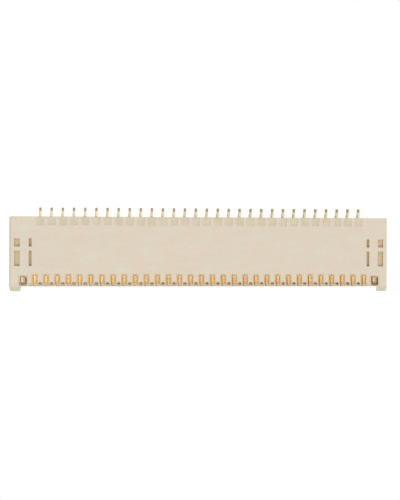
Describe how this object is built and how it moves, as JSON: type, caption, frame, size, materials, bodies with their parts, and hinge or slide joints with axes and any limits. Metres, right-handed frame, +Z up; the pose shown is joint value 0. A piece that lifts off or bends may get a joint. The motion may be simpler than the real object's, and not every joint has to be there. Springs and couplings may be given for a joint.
{
  "type": "fpc connector",
  "caption": "Right-angle flat-cable board connector, fine pitch, with two staggered rows of contacts, end hold-downs and a rear flip lever.",
  "frame": {"origin": "middle of the part's footprint, on the board plane that the solder feet and tails rest on", "axes": "+X along the row of contacts, +Y from the cable mouth towards the rear tails, +Z up from the board"},
  "size_m": [0.0206, 0.0044, 0.001],
  "materials": {
    "housing_plastic": "natural cream liquid-crystal polymer, matte",
    "lever_plastic": "dark glass-filled plastic, matte",
    "contact_metal": "thin gold plate over copper alloy strip",
    "hold_down_metal": "matte tin plate"
  },
  "bodies": {
    "connector": {"housing_floor": "housing_plastic", "housing_roof": "housing_plastic", "housing_back": "housing_plastic", "housing_left_end": "housing_plastic", "housing_right_end": "housing_plastic", "left_hold_down": "hold_down_metal", "right_hold_down": "hold_down_metal", "front_contact_01": "contact_metal", "front_contact_02": "contact_metal", "front_contact_03": "contact_metal", "front_contact_04": "contact_metal", "front_contact_05": "contact_metal", "front_contact_06": "contact_metal", "front_contact_07": "contact_metal", "front_contact_08": "contact_metal", "front_contact_09": "contact_metal", "front_contact_10": "contact_metal", "front_contact_11": "contact_metal", "front_contact_12": "contact_metal", "front_contact_13": "contact_metal", "front_contact_14": "contact_metal", "front_contact_15": "contact_metal", "front_contact_16": "contact_metal", "front_contact_17": "contact_metal", "front_contact_18": "contact_metal", "front_contact_19": "contact_metal", "front_contact_20": "contact_metal", "front_contact_21": "contact_metal", "front_contact_22": "contact_metal", "front_contact_23": "contact_metal", "front_contact_24": "contact_metal", "front_contact_25": "contact_metal", "front_contact_26": "contact_metal", "front_contact_27": "contact_metal", "front_contact_28": "contact_metal", "front_contact_29": "contact_metal", "front_contact_30": "contact_metal", "front_contact_31": "contact_metal", "rear_contacts_01_02": "contact_metal", "rear_contacts_03_04": "contact_metal", "rear_contacts_05_06": "contact_metal", "rear_contacts_07_08": "contact_metal", "rear_contacts_09_10": "contact_metal", "rear_contacts_11_12": "contact_metal", "rear_contacts_13_14": "contact_metal", "rear_contacts_15_16": "contact_metal", "rear_contacts_17_18": "contact_metal", "rear_contacts_19_20": "contact_metal", "rear_contacts_21_22": "contact_metal", "rear_contacts_23_24": "contact_metal", "rear_contacts_25_26": "contact_metal", "rear_contacts_27_28": "contact_metal", "rear_contacts_29_30": "contact_metal"},
    "lever": {"flip_lever": "lever_plastic"}
  },
  "joints": [
    {"name": "lever_hinge", "type": "hinge", "parent": "connector", "child": "lever", "pos_m": [0, 0.00036, 0.00053], "axis": [1, 0, 0], "range_deg": [0, 95]}
  ]
}
